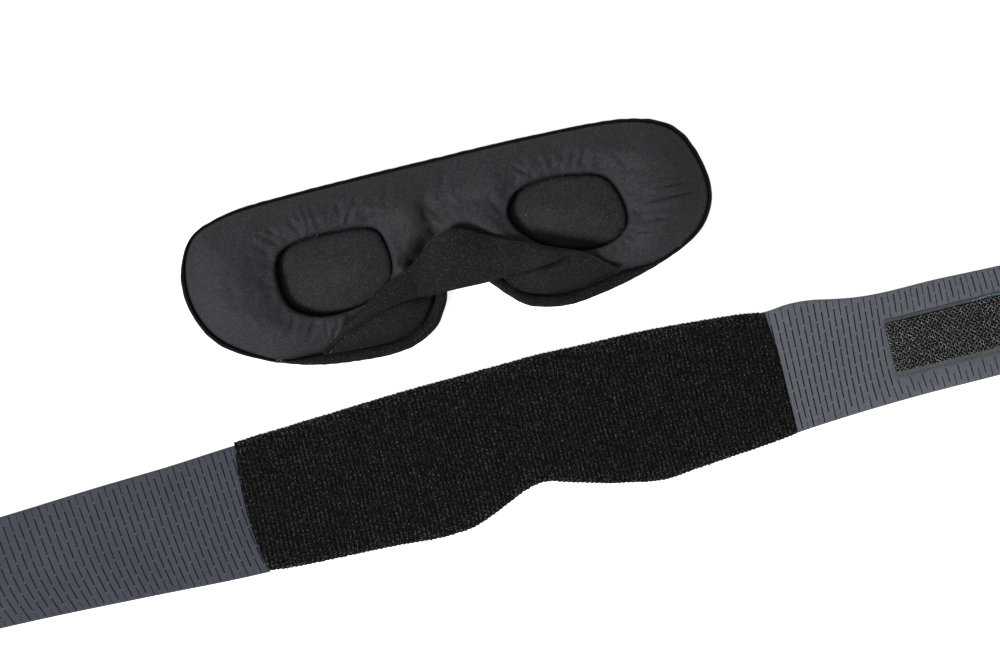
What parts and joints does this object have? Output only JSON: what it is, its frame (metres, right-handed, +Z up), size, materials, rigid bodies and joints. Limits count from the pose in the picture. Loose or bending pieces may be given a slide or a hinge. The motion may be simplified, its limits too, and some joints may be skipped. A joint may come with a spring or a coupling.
{
  "type": "sleep mask",
  "caption": "Contoured padded sleep mask with deep eye wells and a lifting nose flap, beside the hook-and-loop headband that it presses onto.",
  "frame": {"origin": "under the middle of the headband's loop panel, on the surface that mask and headband lie on", "axes": "+X along the headband towards its hook tab, +Y from the headband towards the mask, +Z up, the way both pieces face the wearer's side"},
  "size_m": [0.56, 0.1594, 0.0223],
  "materials": {
    "loop_fabric": "matt brushed loop knit, ribbed",
    "strap_fabric": "matt woven elastic with dashed rib",
    "backing_fabric": "matt smooth knit",
    "interlining": "matt felt",
    "hook_tape": "matt woven tape",
    "hook_plastic": "fine nylon hooks, slight sheen",
    "face_satin": "soft satin sheen",
    "knit": "matt ribbed stretch knit",
    "foam": "matt open-cell foam"
  },
  "bodies": {
    "headband": {"panel_backing": "backing_fabric", "panel_interlining": "interlining", "loop_panel": "loop_fabric"},
    "strap_left": {"strap_left": "strap_fabric"},
    "strap_left_tip": {"strap_left_tip": "strap_fabric", "loop_tape": "loop_fabric"},
    "strap_right": {"strap_right": "strap_fabric"},
    "strap_tab": {"strap_tab": "strap_fabric", "hook_tape": "hook_tape", "hook_field": "hook_plastic"},
    "mask": {"foam": "foam", "face_cover": "face_satin", "back_cover": "knit", "brow_binding": "knit", "cheek_band_left": "knit", "cheek_band_right": "knit", "eye_well_left": "knit", "eye_well_right": "knit", "eye_floor_left": "knit", "eye_floor_right": "knit", "hook_tab_left": "hook_tape", "hook_tab_right": "hook_tape", "hook_tab_bridge": "hook_tape"},
    "wing_left": {"foam_wing_left": "foam", "face_cover_wing_left": "face_satin", "back_cover_wing_left": "knit", "binding_wing_left": "knit"},
    "wing_right": {"foam_wing_right": "foam", "face_cover_wing_right": "face_satin", "back_cover_wing_right": "knit", "binding_wing_right": "knit"},
    "nose_flap": {"nose_flap": "knit"}
  },
  "joints": [
    {"name": "strap_left_fold", "type": "hinge", "parent": "headband", "child": "strap_left", "pos_m": [-0.1202, 0, 0.0027], "axis": [0, 1, 0], "range_deg": [0, 70]},
    {"name": "strap_left_tip_fold", "type": "hinge", "parent": "strap_left", "child": "strap_left_tip", "pos_m": [-0.212, 0, 0.0027], "axis": [0, 1, 0], "range_deg": [0, 70]},
    {"name": "strap_right_fold", "type": "hinge", "parent": "headband", "child": "strap_right", "pos_m": [0.1193, 0, 0.0027], "axis": [0, -1, 0], "range_deg": [0, 70]},
    {"name": "strap_tab_fold", "type": "hinge", "parent": "strap_right", "child": "strap_tab", "pos_m": [0.158, 0, 0.0027], "axis": [0, -1, 0], "range_deg": [0, 70]},
    {"name": "mask_lift", "type": "slide", "parent": "headband", "child": "mask", "axis": [0, 0, 1], "range_m": [0, 0.15]},
    {"name": "wing_left_bend", "type": "hinge", "parent": "mask", "child": "wing_left", "pos_m": [-0.089, 0.087, 0.0123], "axis": [0, 1, 0], "range_deg": [0, 40]},
    {"name": "wing_right_bend", "type": "hinge", "parent": "mask", "child": "wing_right", "pos_m": [0.078, 0.087, 0.0123], "axis": [0, -1, 0], "range_deg": [0, 40]},
    {"name": "nose_flap_lift", "type": "hinge", "parent": "mask", "child": "nose_flap", "pos_m": [-0.009, 0.0532, 0.0122], "axis": [1, 0, 0], "range_deg": [0, 85]}
  ]
}
